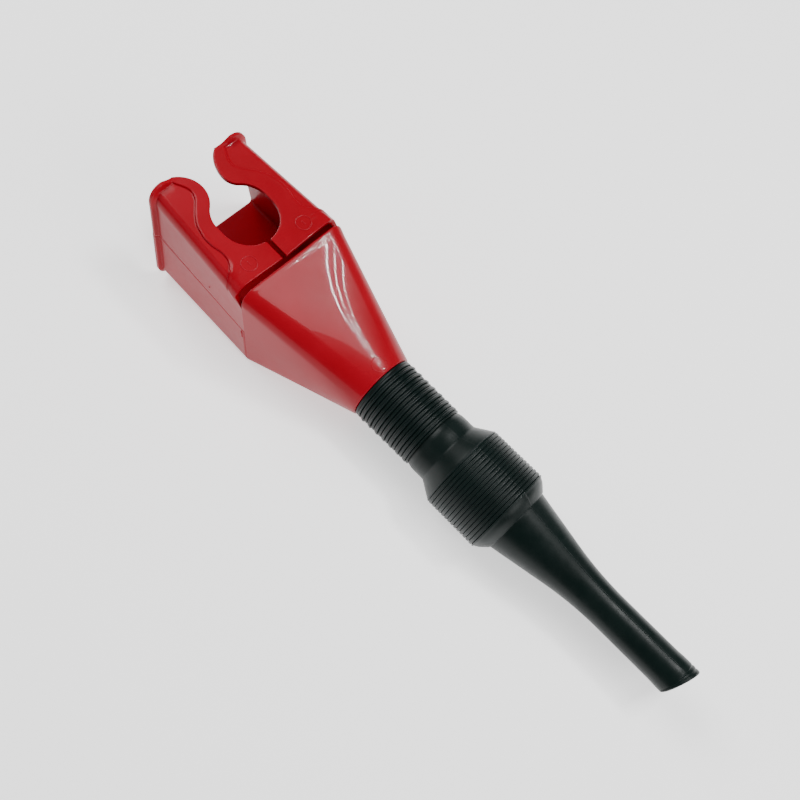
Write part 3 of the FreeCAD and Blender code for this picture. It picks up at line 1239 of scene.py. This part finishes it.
    def dash(
        self, name: str, place: Array, along: Array, up: Array, size: Triple, material: Material
    ) -> SceneObject:
        """Short raised dash: a low half-round section that shrinks to a point at both ends.

        The section's scale at u, from -1 to 1 along the dash, is the root of 1 less u to the fourth.

        Args:
            name: name of the piece.
            place: its middle in mm along the hose.
            along: unit vector along the dash.
            up: unit vector away from the surface.
            size: half of its length, half of its width, and its height in mm.
            material: finish of the dash.

        Returns:
            The new piece.
        """
        u = np.linspace(-1.0, 1.0, 17)[:, None, None]
        scale = np.sqrt(np.maximum(1.0 - u**4, 0.0))
        section = low_round(size[1], size[2])[None] * scale
        grid = place + u * size[0] * along + section[..., :1] * np.cross(up, along) + section[..., 1:] * up
        piece = make_piece(name, grid.reshape(-1, 3), grid_faces(*grid.shape[:2], 0, True), material)
        return piece

    def ring_tick(self, side: Side, material: Material) -> SceneObject:
        """Dash inside an arm's ring, along the head.

        Args:
            side: which arm.
            material: finish of the dash.

        Returns:
            The new piece.
        """
        shape = self.shape
        place = shape.pitched(np.array([self.mark_x, self.mark_y * side.value, shape.mouth.roof_z]))
        along = shape.pitched(np.array([1.0, 0.0, 0.0]))
        up = shape.pitched(np.array([0.0, 0.0, 1.0]))
        piece = self.dash(f"arm_tick_{side.name.lower()}", place, along, up, self.tick, material)
        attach(piece, side.body)
        return piece

    def wall_dashes(self, material: Material) -> list[SceneObject]:
        """Raised marks on the right wall, along the section.

        Args:
            material: finish of the marks.

        Returns:
            The new pieces.
        """
        right = Side.RIGHT.value
        pieces = []
        for mark in self.wall_marks:
            place = self.shape.hopper(mark.share, mark.k, 0.0, right)
            along = self.shape.hopper(mark.share, mark.k + 0.05, 0.0, right) - place
            up = self.shape.hopper(mark.share, mark.k, 1.0, right) - place
            along /= np.linalg.norm(along)
            pieces.append(self.dash(mark.name, place, along, up, mark.size, material))
            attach(pieces[-1], "head")
        return pieces

    def gate_mark(self, material: Material) -> SceneObject:
        """Raised ring on top of the throat near the neck: a circle laid on the throat's surface.

        Args:
            material: finish of the ring.

        Returns:
            The new piece.
        """
        shape = self.shape
        turn = np.linspace(0, 2 * np.pi, 64, endpoint=False)
        reach = NECK_X - shape.slot_x

        def laid(radius: float, lift: float) -> Array:
            """Lays a circle on the throat.

            Args:
                radius: radius of the circle in mm.
                lift: how far off the surface it is in mm.

            Returns:
                Points in mm along the hose.
            """
            share = 1 - (self.gate_reach - radius * np.cos(turn)) / reach
            neck_half = shape.neck_radius * np.sin(np.pi / 8)
            half = shape.mouth.lengths()[0] * (1 - share) + neck_half * share
            y = radius * np.sin(turn)
            return shape.cone(share, np.abs(y) / half, lift, np.where(y < 0, -1.0, 1.0))

        path = laid(self.gate_radius, 0.0)
        across = laid(self.gate_radius + 1.0, 0.0) - path
        across /= np.linalg.norm(across, axis=1, keepdims=True)
        up = laid(self.gate_radius, 1.0) - path
        piece = tube_piece("gate_mark", path, across, up, low_round(0.32, 0.2), material)
        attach(piece, "head")
        return piece

    def build(self) -> list[SceneObject]:
        """Makes the head.

        Returns:
            Its pieces.
        """
        red = RED_GLOSS.build()
        pieces = [self.tray(red), self.throat(red)]
        pieces.append(ClipArm(self.shape, Side.LEFT, LEFT_PLAN).build(red))
        pieces.append(ClipArm(self.shape, Side.RIGHT, RIGHT_PLAN).build(red))
        pieces += [self.ring_mark(side, red) for side in Side]
        pieces += [self.ring_tick(side, red) for side in Side]
        pieces += self.wall_dashes(red)
        pieces.append(self.gate_mark(red))
        return pieces


def low_round(half_width: float, height: float) -> Array:
    """Closed section of a low ridge: a half ellipse above the surface and a flat base below it.

    Args:
        half_width: half of its width in mm.
        height: its height in mm.

    Returns:
        Loop of (across, up) offsets in mm.
    """
    turn = np.linspace(0, np.pi, 9)
    arch = np.stack([half_width * np.cos(turn), height * np.sin(turn)], axis=-1)
    base = np.array([[-half_width, -0.2], [half_width, -0.2]])
    return np.concatenate([arch, base])


# --------------------------------------------------------------------------------------- hose


@dataclass
class Lathe:
    """Turns profiles about the hose's axis, with two fine mould parting ridges.

    Args:
        steps: even steps round the axis.
        ridge_turn: angle of the first ridge from the top, towards +Y.
        ridge: height and width in mm of the ridge.
    """

    steps: int = 120
    ridge_turn: float = float(np.radians(9.0))
    ridge: Pair = (0.18, 0.25)

    def turns(self) -> Array:
        """Spaces the columns evenly all round, and closer together at the two ridges.

        Returns:
            Angles from the top.
        """
        even = np.linspace(0, 2 * np.pi, self.steps, endpoint=False)
        close = np.linspace(-0.035, 0.035, 9)
        extra = np.concatenate([self.ridge_turn + close, self.ridge_turn + np.pi + close])
        return np.unique(np.round(np.concatenate([even, extra]), 5))

    def skin(self, x: Array, radius: Array, ridged: Array | float = 0.0) -> Array:
        """Surface of revolution: each point is its radius times the sine and cosine of the turn.

        Args:
            x: place along the axis of each profile point, or of each point of the grid.
            radius: distance from the axis of each profile point, or of each point of the grid.
            ridged: share of the parting ridge at each profile point.

        Returns:
            Rows by columns by xyz, in mm.
        """
        turns = self.turns()[None, :]
        x, radius, ridged = (np.asarray(v, float) for v in (x, radius, ridged))
        x = x[:, None] if x.ndim == 1 else x
        radius = radius[:, None] if radius.ndim == 1 else radius
        ridged = ridged[:, None] if ridged.ndim == 1 else ridged
        height, width = self.ridge
        for centre in (self.ridge_turn, self.ridge_turn + np.pi):
            radius = radius + ridged * height * bell((turns - centre) * radius, 0.0, width)
        x, radius, turns = np.broadcast_arrays(x, radius, turns)
        return np.stack([x, radius * np.sin(turns), radius * np.cos(turns)], axis=-1)

    def piece(
        self,
        name: str,
        outer: tuple[Array, Array],
        inner: tuple[Array, Array],
        ridged: Array | float,
        material: Material,
    ) -> SceneObject:
        """Closed turned wall.

        Args:
            name: name of the piece.
            outer: places and radii of the outer profile.
            inner: places and radii of the inner profile.
            ridged: share of the parting ridge at each outer point.
            material: finish of the piece.

        Returns:
            The new piece.
        """
        return shell_piece(name, self.skin(*outer, ridged), self.skin(*inner), True, material)


@dataclass(frozen=True)
class Fold:
    """One raised ring of a bellows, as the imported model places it.

    Args:
        node: its CAD node.
        low: its start along the hose in mm.
        high: its end along the hose in mm.
        start_radius: radius at its start.
        end_radius: radius at its end.
        round: how much of each side is rounded, 1 for a full half-round.
        drop: height of the rounding as a share of its width.
    """

    node: str
    low: float
    high: float
    start_radius: float
    end_radius: float
    round: float
    drop: float = 1.0

    @classmethod
    def from_frame(
        cls, node: str, start_radius: float, end_radius: float, round: float, drop: float = 1.0
    ) -> "Fold":
        """Reads a fold's place from its CAD node.

        Args:
            node: name of the node.
            start_radius: radius at its start in mm.
            end_radius: radius at its end in mm.
            round: how much of each side is rounded.
            drop: height of the rounding as a share of its width.

        Returns:
            The fold.
        """
        low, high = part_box(node)
        return cls(node, DATUM.along(low[0]), DATUM.along(high[0]), start_radius, end_radius, round, drop)

    @property
    def middle(self) -> float:
        """Place of the crest's middle."""
        return (self.low + self.high) / 2

    def slope(self, x: Array) -> Array:
        """Radius at x of the straight line from the fold's start to its end."""
        share = (x - self.low) / (self.high - self.low)
        return self.start_radius + (self.end_radius - self.start_radius) * share

    def crest(self, first: bool) -> tuple[Array, Array]:
        """Profile of one half of the crest.

        The side is a quarter ellipse and the top is a straight line from the start's radius to
        the end's.

        Args:
            first: the half from the fold's start, or the half to its end.

        Returns:
            Places and radii from the fold's start to its middle, or from its middle to its end.
        """
        width = self.round * (self.high - self.low) / 2
        turn = np.linspace(0, np.pi / 2, 8)
        x = self.low + width * (1 - np.cos(turn))
        drop = self.drop * width * (1 - np.sin(turn))
        if not first:
            x = self.high - (x - self.low)
            x, drop = x[::-1], drop[::-1]
        radius = self.slope(x) - drop
        middle = (self.start_radius + self.end_radius) / 2
        if first:
            return np.append(x, self.middle), np.append(radius, middle)
        return np.append(self.middle, x), np.append(middle, radius)


@dataclass
class Bellows:
    """A row of folds with a thin wall between each two.

    Args:
        name: name of the row, used for its pieces.
        folds: the folds from the mouth's side to the spout's.
        bodies: the moving body of each fold. Not used.
        root: radius of the groove's bottom in mm.
        bore: radius of the inside in mm.
        ridged: share of the parting ridge on the crests.
        lathe: what turns the profiles.
    """

    name: str
    folds: list[Fold]
    bodies: list[str]
    root: float
    bore: float
    ridged: float
    lathe: Lathe

    def groove(self, number: int, material: Material) -> SceneObject:
        """The wall from the crest of one fold to the crest of the next.

        The groove's sides slope to a rounded bottom half-way between the folds.

        Args:
            number: number of the first of the two folds.
            material: finish of the wall.

        Returns:
            The new piece.
        """
        first, second = self.folds[number], self.folds[number + 1]
        x_a, r_a = first.crest(False)
        x_b, r_b = second.crest(True)
        centre = (first.high + second.low) / 2
        half = (second.low - first.high) / 2
        dip = np.array([0.75, 0.5, 0.3, 0.12, 0.0])
        depth = np.array([0.3, 0.6, 0.82, 0.96, 1.0])
        x_left = centre - half * dip
        r_left = r_a[-1] + (self.root - r_a[-1]) * depth
        x_right = (centre + half * dip)[::-1][1:]
        r_right = (r_b[0] + (self.root - r_b[0]) * depth)[::-1][1:]
        x = np.concatenate([x_a, x_left, x_right, x_b])
        radius = np.concatenate([r_a, r_left, r_right, r_b])
        inner_x = np.linspace(x[0], x[-1], 9)
        inner = (inner_x, np.full(9, self.bore))
        name = f"{self.name}_wall_{number + 1:02d}"
        piece = self.lathe.piece(name, (x, radius), inner, self.ridged, material)
        start = DATUM.place(np.array([first.high - 0.1, 0.0, 0.0]))
        end = DATUM.place(np.array([second.low + 0.1, 0.0, 0.0]))
        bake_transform(piece)
        return piece

    def build(self, material: Material) -> list[SceneObject]:
        """Makes the wall between each two folds, and lets each stand for its first fold.

        Args:
            material: finish of the walls.

        Returns:
            The new pieces.
        """
        pieces = []
        for number in range(len(self.folds) - 1):
            piece = self.groove(number, material)
            if number:
                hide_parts(self.folds[number].node)
            pieces.append(piece)
        return pieces


# Places along the axis and radii of the shoulder below the wide bellows, in mm.
LOWER_SHOULDER = np.array(
    [
        [88.9, 24.55], [90.0, 23.9], [91.2, 23.15], [92.4, 22.1], [93.4, 21.15], [94.2, 20.35],
        [94.8, 19.75], [95.0, 19.5], [95.12, 19.2], [95.3, 18.95], [95.6, 18.86],
    ]
)


@dataclass
class Hose:
    """The black moulding: cuff, narrow bellows, smooth tube, wide bellows and spout.

    Args:
        lathe: what turns the profiles.
        narrow_folds: number of wide crests in the narrow bellows.
        rings: number of rings of the wide bellows.
        cuff_radius: outside of the cuff in the neck in mm.
        cuff_bead: depth in the neck, half-width and height of the bead that snaps into the socket.
        cuff_gap: gap between the neck's end and the cuff's shoulder.
        shoulder_radius: radius of the cuff's shoulder at its start and its end.
        narrow_bore: inside of the cuff and the narrow bellows.
        narrow_root: bottom of the narrow bellows' grooves.
        wide_crest: radius of the first wide crest, and of the one that would follow the last.
        narrow_crest: radius of the narrow crests.
        tube_radius: radius of the smooth tube, where each fold starts too.
        tube_bore: inside of the tube.
        swell: place, width and height of the tube's faint swell.
        waviness: height of the tube's faint waves.
        cone: place, radius and slope of the shoulder that opens to the collar.
        collar_edge: width and first radius of the collar's plain edge before the rings.
        collar_bore: inside of the wide bellows.
        collar_root: bottom of the wide bellows' grooves.
        ring_radius: radius before the first ring and of the last ring's crest.
        spout_start: place and radius of the spout's beginning.
        taper: slope of the spout's taper, and the places where it starts to fade and where it ends.
        flare: start, end and height of the tip's slight flare.
        tip_x: place along the axis of the middle of the slanted tip.
        tip_slope: slope of the tip's cut, further out towards +Y.
        tip_grooves: places of the fine lines round the tip.
        groove: depth and width of those lines.
        lip: rounding of the tip.
        wall: wall thickness of the spout.
    """

    lathe: Lathe
    narrow_folds: int = 7
    rings: int = 14
    cuff_radius: float = 17.24
    cuff_bead: Triple = (6.0, 1.2, 0.6)
    cuff_gap: float = 0.35
    shoulder_radius: Pair = (18.95, 19.25)
    narrow_bore: float = 15.2
    narrow_root: float = 18.15
    wide_crest: Pair = (19.85, 19.35)
    narrow_crest: float = 19.1
    tube_radius: float = 18.95
    tube_bore: float = 17.15
    swell: Triple = (37.0, 2.2, 0.14)
    waviness: float = 0.02
    cone: Triple = (47.4, 19.37, 0.622)
    collar_edge: Pair = (1.7, 24.45)
    collar_bore: float = 20.2
    collar_root: float = 24.4
    ring_radius: Pair = (25.0, 25.2)
    spout_start: Pair = (95.7, 18.85)
    taper: Triple = (0.1835, 126.0, 160.5)
    flare: Triple = (193.0, 201.0, 0.28)
    tip_x: float = 206.6
    tip_slope: float = 0.335
    tip_grooves: Pair = (203.1, 204.5)
    groove: Pair = (0.35, 0.26)
    lip: float = 1.2
    wall: float = 1.4

    def narrow_names(self) -> list[str]:
        """Lists the narrow bellows from the cuff to the tube, wide and narrow crests in turn.

        Returns:
            Names of the nodes, which are those of the bodies too.
        """
        names = []
        for number in range(1, self.narrow_folds + 1):
            names.append(f"fold_wide_{number}")
            if number < self.narrow_folds:
                names.append(f"fold_narrow_{number}")
        return names

    def cuff(self, material: Material) -> tuple[SceneObject, Fold]:
        """Cuff in the neck's socket, up to the middle of its visible shoulder.

        Args:
            material: finish of the cuff.

        Returns:
            The piece, and the shoulder as the first fold of the narrow bellows.
        """
        low, high = (DATUM.along(v[0]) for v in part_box("hose_cuff"))
        shoulder = Fold("hose_cuff", NECK_X + self.cuff_gap, high, *self.shoulder_radius, 0.2)
        x_rise, r_rise = shoulder.crest(True)
        turn = np.linspace(0, np.pi, 13)
        depth, half_width, height = self.cuff_bead
        bead_x = NECK_X - depth - half_width * np.cos(turn)
        bead_r = self.cuff_radius + height * np.sin(turn)
        entry_x = low + np.array([0.0, 0.3, 0.6])
        entry_r = self.cuff_radius - np.array([0.64, 0.24, 0.0])
        neck_x = NECK_X + np.array([0.0, 0.3, self.cuff_gap])
        neck_r = self.cuff_radius + np.array([0.0, 0.06, 0.46])
        x = np.concatenate([entry_x, bead_x, neck_x, x_rise])
        radius = np.concatenate([entry_r, bead_r, neck_r, r_rise])
        inner = (np.linspace(low, x[-1], 8), np.full(8, self.narrow_bore))
        piece = self.lathe.piece("cuff_wall", (x, radius), inner, 0.0, material)
        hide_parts("hose_cuff")
        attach(piece, "cuff")
        return piece, shoulder

    def narrow(self, shoulder: Fold, material: Material) -> tuple[list[SceneObject], Fold]:
        """Narrow bellows, from the cuff's shoulder to the tube, with crests that grow a little lower.

        Args:
            shoulder: the cuff's visible shoulder.
            material: finish of the folds.

        Returns:
            The pieces, and the tube's start as the last fold.
        """
        folds = [shoulder]
        names = self.narrow_names()
        first_crest, last_crest = self.wide_crest
        for place, name in enumerate(names):
            crest = first_crest - (first_crest - last_crest) * place / len(names)
            wide = (self.tube_radius, crest, 0.5)
            narrow = (self.tube_radius, self.narrow_crest, 0.7)
            folds.append(Fold.from_frame(name, *(wide if "wide" in name else narrow)))
        start = DATUM.along(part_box("middle_tube")[0][0])
        first_tube = Fold("middle_tube", start, start + 2.0, self.tube_radius, self.tube_radius, 0.3)
        folds.append(first_tube)
        bodies = ["cuff", *names, "tube"]
        bellows = Bellows("narrow", folds, bodies, self.narrow_root, self.narrow_bore, 0.0, self.lathe)
        return bellows.build(material), first_tube

    def wide(self, material: Material) -> tuple[list[SceneObject], Fold, Fold]:
        """Wide bellows of the collar.

        Args:
            material: finish of the rings.

        Returns:
            The pieces, the tube's last crest and the spout's first one.
        """
        low_radius, high_radius = self.ring_radius
        tube_end = DATUM.along(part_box("middle_tube")[1][0])
        spout_start = DATUM.along(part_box("spout")[0][0])
        width, edge_radius = self.collar_edge
        last = Fold("middle_tube", tube_end - width, tube_end, edge_radius, low_radius, 0.6)
        first = Fold("spout", spout_start, spout_start + width, 25.3, 24.9, 0.6)
        folds = [last]
        for number in range(1, self.rings + 1):
            crest = low_radius + (high_radius - low_radius) * number / self.rings
            folds.append(Fold.from_frame(f"collar_ring_{number:02d}", crest, crest, 0.7, 0.5))
        folds.append(first)
        names = [f"collar_ring_{number:02d}" for number in range(1, self.rings + 1)]
        bodies = ["tube", *names, "spout"]
        bellows = Bellows("collar", folds, bodies, self.collar_root, self.collar_bore, 0.6, self.lathe)
        return bellows.build(material), last, first

    def tube(self, start: Fold, end: Fold, material: Material) -> SceneObject:
        """Smooth tube with a faint swell, and the shoulder that opens to the collar.

        The shoulder is a straight cone between two arcs: the radius is the softened greater of
        the tube's radius and the cone's, and the softened lesser of that and the collar's.

        Args:
            start: the tube's first crest.
            end: the tube's last crest.
            material: finish of the tube.

        Returns:
            The new piece.
        """
        x = np.concatenate([np.linspace(start.middle, 44.0, 40), np.linspace(44.2, end.middle, 60)])
        place, width, height = self.swell
        swell = height * bell(x, place, width)
        swell = swell + self.waviness * np.sin(x * 1.1) * smooth_step(x, 34.0, 36.0)
        cone_x, cone_radius, slope = self.cone
        cone = cone_radius + (x - cone_x) * slope
        body = self.tube_radius + swell * (1 - smooth_step(x, 44.0, 47.0))
        radius = soft_lesser(end.slope(x), soft_greater(body, cone, 0.15), 0.28)
        radius[-1] = (end.start_radius + end.end_radius) / 2
        inner_x = np.array([x[0], x[0] + 1.5, x[0] + 1.5, 46.5, 53.0, x[-1]])
        inner_r = np.repeat([self.narrow_bore, self.tube_bore, self.collar_bore], 2)
        piece = self.lathe.piece("tube_wall", (x, radius), (inner_x, inner_r), 0.3, material)
        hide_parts("middle_tube")
        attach(piece, "tube")
        return piece

    def spout_radius(self, x: Array) -> Array:
        """Outer radius of the spout: a straight taper that a wide arc carries into the straight end.

        The taper's slope fades evenly to nothing between its two places, so the radius there is a
        parabola. A slight flare finishes the tip.

        Args:
            x: places along the axis in mm.

        Returns:
            Radii in mm.
        """
        slope, begin, finish = self.taper
        start_x, start_radius = self.spout_start
        ease = np.clip((x - begin) / (finish - begin), 0, 1)
        straight = slope * (np.minimum(x, begin) - start_x)
        curved = slope * (finish - begin) * (ease - ease**2 / 2)
        low, high, height = self.flare
        return start_radius - straight - curved + height * smooth_step(x, low, high)

    def spout(self, start: Fold, material: Material) -> SceneObject:
        """Lower shoulder, taper, straight end and slanted tip with a rounded lip.

        The last stretch of each line along the spout is stretched or shortened to reach the cut
        plane, whose place along the axis grows with the sideways place.

        Args:
            start: the spout's first crest.
            material: finish of the spout.

        Returns:
            The new piece.
        """
        shoulder_x, shoulder_r = LOWER_SHOULDER.T
        first_x = np.linspace(start.middle, 88.4, 4)
        start_radius = (start.start_radius + start.end_radius) / 2
        first_r = np.interp(first_x, [start.middle, 88.4], [start_radius, 24.8])
        body = np.concatenate([np.linspace(96.0, 195.0, 110), np.linspace(195.5, 205.3, 90)])
        radius = self.spout_radius(body)
        depth, width = self.groove
        for place in self.tip_grooves:
            radius = radius - depth * bell(body, place, width)
        inward, below = edge_profile(self.lip, 7)
        tip_radius = self.spout_radius(np.array([self.tip_x]))
        x = np.concatenate([first_x, shoulder_x, body, self.tip_x - inward[::-1]])
        radius = np.concatenate([first_r, shoulder_r, radius, tip_radius - below[::-1]])
        turns = self.lathe.turns()[None, :]
        pull = smooth_step(x, 200.5, self.tip_x)[:, None]
        slanted = x[:, None] + self.tip_slope * radius[:, None] * np.sin(turns) * pull
        grooved = radius[:, None] + np.zeros_like(slanted)
        body = np.linspace(96.0, 205.0, 60)
        inner_x = np.concatenate([[start.middle, 92.0], body, [self.tip_x - 0.5, self.tip_x]])
        bore = self.spout_radius(body) - self.wall
        inner_r = np.concatenate([[self.collar_bore, self.collar_bore], bore, [8.6, 8.85]])
        inner_pull = smooth_step(inner_x, 198.0, self.tip_x)[:, None]
        inner_slanted = inner_x[:, None] + self.tip_slope * inner_r[:, None] * np.sin(turns) * inner_pull
        ridged = smooth_step(x, start.middle, 89.0) * (1 - smooth_step(x, 196.0, 203.0))
        outer = self.lathe.skin(slanted, grooved, ridged)
        inner = self.lathe.skin(inner_slanted, inner_r)
        piece = shell_piece("spout_wall", outer, inner, True, material)
        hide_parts("spout")
        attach(piece, "spout")
        return piece

    def build(self) -> list[SceneObject]:
        """Makes the hose.

        Returns:
            Its pieces.
        """
        black = BLACK_SATIN.build()
        cuff, shoulder = self.cuff(black)
        narrow, tube_start = self.narrow(shoulder, black)
        wide, tube_end, spout_start = self.wide(black)
        tube = self.tube(tube_start, tube_end, black)
        spout = self.spout(spout_start, black)
        return [cuff, *narrow, tube, *wide, spout]


# --------------------------------------------------------------------------------------- studio


@dataclass(frozen=True)
class SoftBox:
    """One rectangular studio light.

    Args:
        name: its name.
        place: where it hangs in metres, from the middle of the part.
        size: its two sides in metres.
        power: its power in watts.
    """

    name: str
    place: Triple
    size: Pair
    power: float

    def build(self, target: Vector) -> SceneObject:
        """Makes the light, aimed at the target.

        Args:
            target: point that it faces.

        Returns:
            The new light.
        """
        data = bpy.data.lights.new(self.name, "AREA")
        data.shape = "RECTANGLE"
        data.size, data.size_y = self.size
        data.energy = self.power
        light = bpy.data.objects.new(self.name, data)
        place = Vector(self.place) + target
        aim = (target - place).to_track_quat("-Z", "Y").to_matrix().to_4x4()
        light.matrix_world = Matrix.Translation(place) @ aim
        bpy.context.collection.objects.link(light)
        return light


@dataclass(frozen=True)
class Studio:
    """Pale floor, soft lights and the camera.

    Args:
        elevation: camera's angle above the horizon in degrees.
        heading: direction that the camera faces, in degrees from +Y towards -X.
        roll: camera's turn about its own axis in degrees.
        distance: distance in mm from the camera to the point of the axis plane that it faces.
        faced: that point, in mm along the hose.
        lens: focal length in mm.
        sensor: width of the camera's sensor in mm.
        surround: strength of the even surround.
        lights: the studio's lights.
    """

    elevation: float = 66.938
    heading: float = 23.48
    roll: float = -22.776
    distance: float = 475.38
    faced: Triple = (9.006, 2.203, 0.0)
    lens: float = 40.79
    sensor: float = 36.0
    surround: float = 0.12
    lights: tuple[SoftBox, ...] = (
        SoftBox("key", (0.2, 0.38, 1.31), (0.4, 0.4), 4.0),
        SoftBox("fill", (-0.6, -1.3, 0.9), (1.2, 1.0), 2.5),
        SoftBox("side", (-1.1, 0.1, 1.1), (0.8, 0.8), 16.0),
        SoftBox("front", (1.3, 0.2, 0.9), (0.9, 0.9), 14.0),
        SoftBox("strip_1", (0.213, 0.475, 1.07), (0.3, 0.003), 2.3),
        SoftBox("strip_2", (0.226, 0.505, 1.06), (0.3, 0.0025), 1.7),
        SoftBox("strip_3", (0.243, 0.545, 1.05), (0.3, 0.003), 2.0),
    )

    def camera(self) -> SceneObject:
        """Makes the scene's camera.

        Returns:
            The new camera.
        """
        data = bpy.data.cameras.new("camera")
        data.lens = self.lens
        data.sensor_width = self.sensor
        data.clip_start = 0.01
        camera = bpy.data.objects.new("camera", data)
        tilt = Matrix.Rotation(np.radians(90.0 - self.elevation), 4, "X")
        turn = Matrix.Rotation(np.radians(self.heading), 4, "Z")
        roll = Matrix.Rotation(np.radians(-self.roll), 4, "Z")
        aim = turn @ tilt @ roll
        faced = Vector(DATUM.place(np.array(self.faced)))
        back = Matrix.Translation((0, 0, self.distance * MM))
        camera.matrix_world = Matrix.Translation(faced) @ aim @ back
        bpy.context.collection.objects.link(camera)
        bpy.context.scene.camera = camera
        return camera

    def world(self) -> None:
        """Sets an even, pale surround."""
        world = bpy.data.worlds.new("studio")
        world.use_nodes = True
        background = world.node_tree.nodes["Background"]
        background.inputs["Color"].default_value = (1.0, 1.0, 1.0, 1.0)
        background.inputs["Strength"].default_value = self.surround
        bpy.context.scene.world = world

    def build(self) -> None:
        """Makes floor, lights, surround and camera."""
        Floor().build()
        low, high = (Vector(v) for v in CAD_BOX)
        target = (low + high) / 2
        for box in self.lights:
            box.build(target)
        self.world()
        self.camera()


def main() -> None:
    """Builds the part and its studio, and reports each piece."""
    logging.basicConfig(level=logging.INFO, format="%(name)s: %(message)s")
    pieces = Head(HeadShape()).build() + Hose(Lathe()).build()
    for piece in pieces:
        LOG.info("%s: %d faces", piece.name, len(piece.data.polygons))
    Studio().build()


if __name__ == "__main__":
    main()
